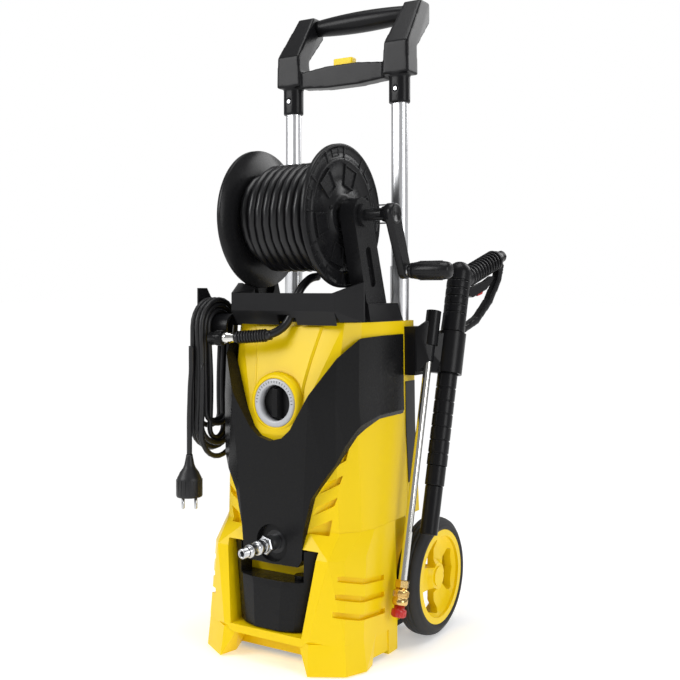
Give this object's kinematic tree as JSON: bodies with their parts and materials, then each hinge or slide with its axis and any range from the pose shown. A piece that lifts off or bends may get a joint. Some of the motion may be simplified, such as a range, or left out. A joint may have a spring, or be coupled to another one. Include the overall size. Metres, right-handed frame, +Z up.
{
  "type": "pressure washer",
  "caption": "Upright electric pressure washer on two wheels, with a front hose reel, telescopic handle, detergent tank, spray gun, lance and hanging mains cord.",
  "frame": {"origin": "on the floor, at the middle of the footprint of everything but the cord and hose", "axes": "+X towards the crank side of the hose reel, +Y from the front panel to the back, +Z up"},
  "size_m": [0.3908, 0.4732, 0.9956],
  "materials": {
    "yellow_plastic": "moulded, light texture",
    "black_plastic": "fine moulded grain",
    "grey_plastic": "fine moulded grain",
    "silver_plastic": "satin silver",
    "red_plastic": "gloss",
    "steel": "satin",
    "chrome": "polished",
    "cast_alloy": "as cast",
    "brass": "machined",
    "tyre_rubber": "matt",
    "black_rubber": "matt"
  },
  "bodies": {
    "washer": {"front_cover": "yellow_plastic", "rear_cover": "yellow_plastic", "front_panel": "black_plastic", "side_strips": "grey_plastic", "top_cover": "grey_plastic", "chassis": "black_plastic", "front_feet": "black_rubber", "knob_ring": "silver_plastic", "switch_unit": "grey_plastic", "motor": "cast_alloy", "pump_body": "cast_alloy", "pump_head": "cast_alloy", "outlet_fitting": "chrome", "outlet_seal": "black_rubber", "inlet_fitting": "grey_plastic", "wheel_axle": "steel", "reel_arm_left": "black_plastic", "reel_arm_right": "black_plastic", "hose_tail": "black_rubber", "hose_sleeve": "black_rubber", "hose_coupling": "chrome", "guide_tubes": "black_plastic", "tool_holder": "black_plastic", "cord_hook": "black_plastic", "cord_gland": "black_rubber", "cord_lead": "black_rubber", "cord_hank": "black_rubber", "cord_tail": "black_rubber", "mains_plug": "black_rubber"},
    "fan": {"motor_fan": "grey_plastic"},
    "tank": {"detergent_tank": "black_plastic", "tank_cap": "black_plastic"},
    "knob": {"power_knob": "black_plastic"},
    "wheel_left": {"tyre_left": "tyre_rubber", "hub_left": "yellow_plastic"},
    "wheel_right": {"tyre_right": "tyre_rubber", "hub_right": "yellow_plastic"},
    "reel": {"reel_drum": "black_plastic", "reel_disc_left": "grey_plastic", "reel_disc_right": "grey_plastic", "reel_axle": "grey_plastic", "crank_arm": "black_plastic", "crank_pin": "steel", "hose_winding": "black_rubber"},
    "crank_handle": {"crank_grip": "black_plastic"},
    "handle": {"handle_tubes": "black_plastic", "handle_frame": "black_plastic", "handle_grip": "grey_plastic", "socket_screws": "steel", "button_spring": "steel"},
    "button": {"release_button": "grey_plastic"},
    "gun": {"gun_body": "black_plastic", "gun_barrel": "black_plastic", "barrel_grip": "black_plastic", "barrel_collars": "black_plastic"},
    "trigger": {"gun_trigger": "grey_plastic"},
    "lock": {"trigger_lock": "red_plastic"},
    "lance": {"lance_tube": "chrome", "lance_coupler": "brass", "lance_nozzle": "red_plastic"}
  },
  "joints": [
    {"name": "fan_spin", "type": "hinge", "parent": "washer", "child": "fan", "pos_m": [-0.0361, -0.04664, 0.405], "axis": [0, 0, 1], "continuous": true},
    {"name": "tank_slide", "type": "slide", "parent": "washer", "child": "tank", "axis": [0, -1, 0], "range_m": [0, 0.12]},
    {"name": "knob_turn", "type": "hinge", "parent": "washer", "child": "knob", "pos_m": [-0.0361, -0.14564, 0.371], "axis": [0, 1, 0], "range_deg": [0, 90]},
    {"name": "wheel_left_roll", "type": "hinge", "parent": "washer", "child": "wheel_left", "pos_m": [-0.1749, 0.06336, 0.09], "axis": [1, 0, 0], "continuous": true},
    {"name": "wheel_right_roll", "type": "hinge", "parent": "washer", "child": "wheel_right", "pos_m": [0.1027, 0.06336, 0.09], "axis": [1, 0, 0], "continuous": true},
    {"name": "reel_turn", "type": "hinge", "parent": "washer", "child": "reel", "pos_m": [-0.0361, -0.09164, 0.642], "axis": [1, 0, 0], "continuous": true},
    {"name": "crank_grip_spin", "type": "hinge", "parent": "reel", "child": "crank_handle", "pos_m": [0.1619, -0.05556, 0.56174], "axis": [1, 0, 0], "continuous": true},
    {"name": "handle_slide", "type": "slide", "parent": "washer", "child": "handle", "axis": [0, 0, 1], "range_m": [-0.24, 0]},
    {"name": "button_press", "type": "slide", "parent": "handle", "child": "button", "axis": [0, 0, -1], "range_m": [0, 0.005], "stiffness_N_per_m": 600, "deforming": ["button_spring"]},
    {"name": "gun_lift", "type": "slide", "parent": "washer", "child": "gun", "axis": [0, 0.2689, 0.9632], "range_m": [0, 0.28]},
    {"name": "trigger_pull", "type": "hinge", "parent": "gun", "child": "trigger", "pos_m": [0.13808, 0.12649, 0.53606], "axis": [0.9903, -0.134, 0.0374], "range_deg": [0, 7], "stiffness_Nm_per_rad": 0.5},
    {"name": "lock_turn", "type": "hinge", "parent": "trigger", "child": "lock", "pos_m": [0.14308, 0.1619, 0.53033], "axis": [0.9903, -0.134, 0.0374], "range_deg": [0, 6]},
    {"name": "lance_lower", "type": "slide", "parent": "washer", "child": "lance", "axis": [0, -0.2538, -0.9673], "range_m": [0, 0.05]}
  ]
}
